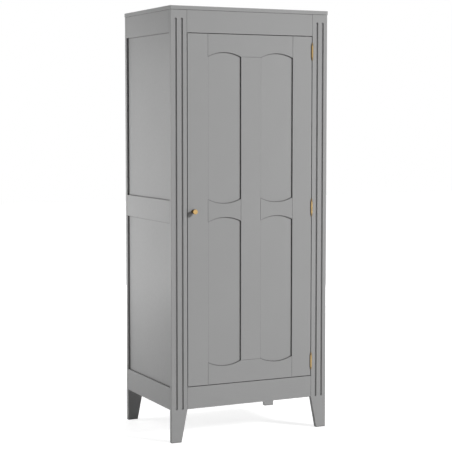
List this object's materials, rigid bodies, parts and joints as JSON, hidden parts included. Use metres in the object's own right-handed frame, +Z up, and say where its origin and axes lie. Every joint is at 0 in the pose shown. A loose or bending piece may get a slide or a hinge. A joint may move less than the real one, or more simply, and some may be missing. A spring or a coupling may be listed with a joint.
{
  "type": "single-door wardrobe",
  "caption": "Tall freestanding wardrobe with framed sides, fluted front posts on tapered legs and one framed door with arched panels, hung on pointed-tip hinges.",
  "frame": {"origin": "on the floor, in the middle of the part's whole box, knob included", "axes": "+Z up, -Y out of the door's face, +X towards the hinge side, which is on the right seen from the front"},
  "size_m": [0.734, 0.528, 1.8],
  "materials": {
    "painted_wood": "satin grey paint",
    "brass": "satin, lacquered",
    "zinc_plated_steel": "zinc plated",
    "chrome_plated_steel": "polished",
    "pale_plastic": "moulded",
    "ferrite": "ground"
  },
  "bodies": {
    "carcass": {"back_bottom_rail": "painted_wood", "back_panel": "painted_wood", "back_top_rail": "painted_wood", "catch_housing": "pale_plastic", "catch_magnet": "ferrite", "catch_screw_left": "zinc_plated_steel", "catch_screw_right": "zinc_plated_steel", "door_stop": "painted_wood", "floor_board": "painted_wood", "floor_cleat_left": "painted_wood", "floor_cleat_right": "painted_wood", "front_apron": "painted_wood", "front_post_left": "painted_wood", "front_post_right": "painted_wood", "front_top_rail": "painted_wood", "hanging_rail": "chrome_plated_steel", "hanging_rail_socket_left": "chrome_plated_steel", "hanging_rail_socket_right": "chrome_plated_steel", "hinge_bottom_frame_leaf": "brass", "hinge_bottom_pin": "brass", "hinge_middle_frame_leaf": "brass", "hinge_middle_pin": "brass", "hinge_top_frame_leaf": "brass", "hinge_top_pin": "brass", "rear_post_left": "painted_wood", "rear_post_right": "painted_wood", "shelf": "painted_wood", "shelf_cleat_left": "painted_wood", "shelf_cleat_right": "painted_wood", "side_left_bottom_rail": "painted_wood", "side_left_mid_rail": "painted_wood", "side_left_panel_lower": "painted_wood", "side_left_panel_upper": "painted_wood", "side_left_top_rail": "painted_wood", "side_right_bottom_rail": "painted_wood", "side_right_mid_rail": "painted_wood", "side_right_panel_lower": "painted_wood", "side_right_panel_upper": "painted_wood", "side_right_top_rail": "painted_wood", "top_board": "painted_wood"},
    "door": {"door_bottom_rail": "painted_wood", "door_mid_rail_left": "painted_wood", "door_mid_rail_right": "painted_wood", "door_muntin": "painted_wood", "door_panel_lower_left": "painted_wood", "door_panel_lower_right": "painted_wood", "door_panel_upper_left": "painted_wood", "door_panel_upper_right": "painted_wood", "door_stile_left": "painted_wood", "door_stile_right": "painted_wood", "door_top_rail": "painted_wood", "hinge_bottom_door_leaf": "brass", "hinge_middle_door_leaf": "brass", "hinge_top_door_leaf": "brass", "knob": "brass", "knob_screw": "zinc_plated_steel", "strike_plate": "zinc_plated_steel", "strike_plate_screw": "zinc_plated_steel"}
  },
  "joints": [
    {"name": "door_hinge", "type": "hinge", "parent": "carcass", "child": "door", "pos_m": [0.29175, -0.2416, 0.9606], "axis": [0, 0, 1], "range_deg": [0, 170]}
  ]
}
